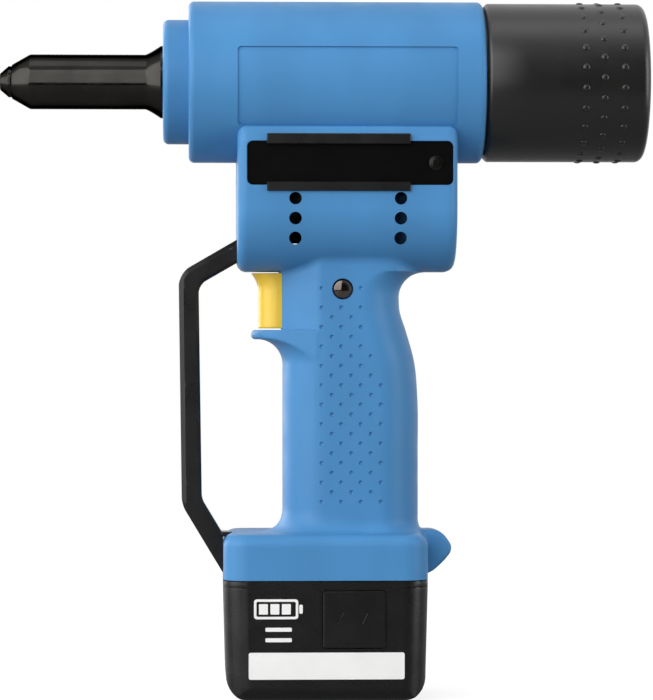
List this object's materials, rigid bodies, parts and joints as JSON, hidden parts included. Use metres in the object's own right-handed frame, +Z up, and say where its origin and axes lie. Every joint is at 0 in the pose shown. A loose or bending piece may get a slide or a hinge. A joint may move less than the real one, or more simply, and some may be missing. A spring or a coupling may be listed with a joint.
{
  "type": "battery rivet tool",
  "caption": "Cordless pistol-grip setting tool for blind rivets with steel nose, knuckle guard, twist-off mandrel container and slide-on battery pack.",
  "frame": {"origin": "middle of the battery's flat resting face", "axes": "+Z up, -X towards the nose, Y across the tool with the middle plane at Y = 0"},
  "size_m": [0.2634, 0.066, 0.284],
  "materials": {
    "housing_plastic": "satin moulded blue plastic",
    "black_plastic": "satin moulded black plastic",
    "black_steel": "glossy blackened steel",
    "trigger_plastic": "satin moulded yellow plastic",
    "polished_steel": "polished steel",
    "screw_steel": "zinc plated screws",
    "machined_steel": "turned and ground steel",
    "spring_steel": "spring wire",
    "magnet": "sintered magnet",
    "copper_winding": "wound copper on laminated iron",
    "board": "green solder mask",
    "brass": "plated contacts",
    "lead_insulation": "red insulated lead",
    "white_plastic": "natural white plastic",
    "seal_rubber": "black rubber",
    "cell_jacket": "shrunk cell jacket",
    "label_white": "blank white label"
  },
  "bodies": {
    "housing": {"housing_left": "housing_plastic", "housing_right": "housing_plastic", "side_rail_left": "black_plastic", "side_rail_right": "black_plastic", "rail_screws": "screw_steel", "housing_screws": "screw_steel", "grip_bolt": "polished_steel", "grip_bolt_nut": "polished_steel", "knuckle_guard": "black_plastic", "head_sleeve": "black_steel", "nosepiece": "black_steel", "container_adapter": "black_plastic", "thrust_tube": "machined_steel", "gear_frame_front": "machined_steel", "gear_frame_rear": "machined_steel", "frame_posts": "machined_steel", "thrust_bearing": "machined_steel", "rear_nut_bearing": "machined_steel", "idler_pin": "machined_steel", "motor_can": "machined_steel", "motor_magnets": "magnet", "motor_screws": "screw_steel", "mandrel_tube": "machined_steel", "trigger_switch": "black_plastic", "control_board": "board", "terminal_block": "black_plastic", "contact_pins": "brass", "motor_leads": "lead_insulation", "power_leads": "lead_insulation"},
    "motor_rotor": {"armature": "copper_winding", "motor_pinion": "machined_steel"},
    "idler": {"idler_gear": "machined_steel"},
    "nut": {"ball_nut": "machined_steel", "drive_gear": "machined_steel"},
    "spindle": {"pull_spindle": "machined_steel", "guide_pins": "machined_steel", "jaw_housing": "machined_steel", "gripping_jaws": "machined_steel", "jaw_pusher": "machined_steel", "jaw_spring": "spring_steel"},
    "trigger": {"trigger": "trigger_plastic", "switch_plunger": "white_plastic", "trigger_spring": "spring_steel"},
    "seal_ring": {"container_seal_ring": "seal_rubber"},
    "container": {"mandrel_container": "black_plastic"},
    "battery": {"battery_tub": "black_plastic", "battery_lid": "black_plastic", "battery_cells": "cell_jacket", "cell_holder": "white_plastic", "cell_links": "brass", "battery_terminals": "brass", "battery_screws": "screw_steel", "battery_label": "label_white"},
    "button_left": {"battery_button_left": "black_plastic", "button_spring_left": "spring_steel"},
    "button_right": {"battery_button_right": "black_plastic", "button_spring_right": "spring_steel"}
  },
  "joints": [
    {"name": "motor_spin", "type": "hinge", "parent": "housing", "child": "motor_rotor", "pos_m": [0, 0, 0.203], "axis": [1, 0, 0], "range_deg": [0, 5142.86]},
    {"name": "idler_turn", "type": "hinge", "parent": "housing", "child": "idler", "pos_m": [0.0285, 0, 0.218], "axis": [1, 0, 0], "range_deg": [-4500.01, 0.01]},
    {"name": "nut_turn", "type": "hinge", "parent": "housing", "child": "nut", "pos_m": [0.0285, 0, 0.251], "axis": [1, 0, 0], "range_deg": [-0.01, 1440.01]},
    {"name": "spindle_pull", "type": "slide", "parent": "housing", "child": "spindle", "axis": [1, 0, 0], "range_m": [0, 0.02]},
    {"name": "trigger_pull", "type": "slide", "parent": "housing", "child": "trigger", "axis": [1, 0, 0], "range_m": [0, 0.006], "stiffness_N_per_m": 400, "springref_m": -0.003, "deforming": ["trigger_spring"]},
    {"name": "container_twist", "type": "hinge", "parent": "housing", "child": "seal_ring", "pos_m": [0.0703, 0, 0.251], "axis": [1, 0, 0], "range_deg": [0, 60]},
    {"name": "container_pull", "type": "slide", "parent": "seal_ring", "child": "container", "axis": [1, 0, 0], "range_m": [0, 0.06]},
    {"name": "battery_slide", "type": "slide", "parent": "housing", "child": "battery", "axis": [0, 0, -1], "range_m": [0, 0.04]},
    {"name": "button_left_press", "type": "slide", "parent": "battery", "child": "button_left", "axis": [0, 1, 0], "range_m": [0, 0.0025], "stiffness_N_per_m": 500, "springref_m": -0.002, "deforming": ["button_spring_left"]},
    {"name": "button_right_press", "type": "slide", "parent": "battery", "child": "button_right", "axis": [0, -1, 0], "range_m": [0, 0.0025], "stiffness_N_per_m": 500, "springref_m": -0.002, "deforming": ["button_spring_right"]}
  ],
  "couplings": [
    {"joint": "idler_turn", "follows": "motor_spin", "ratio": -0.875},
    {"joint": "nut_turn", "follows": "motor_spin", "ratio": 0.28},
    {"joint": "spindle_pull", "follows": "motor_spin", "m_per_rad": 0.00022282}
  ]
}
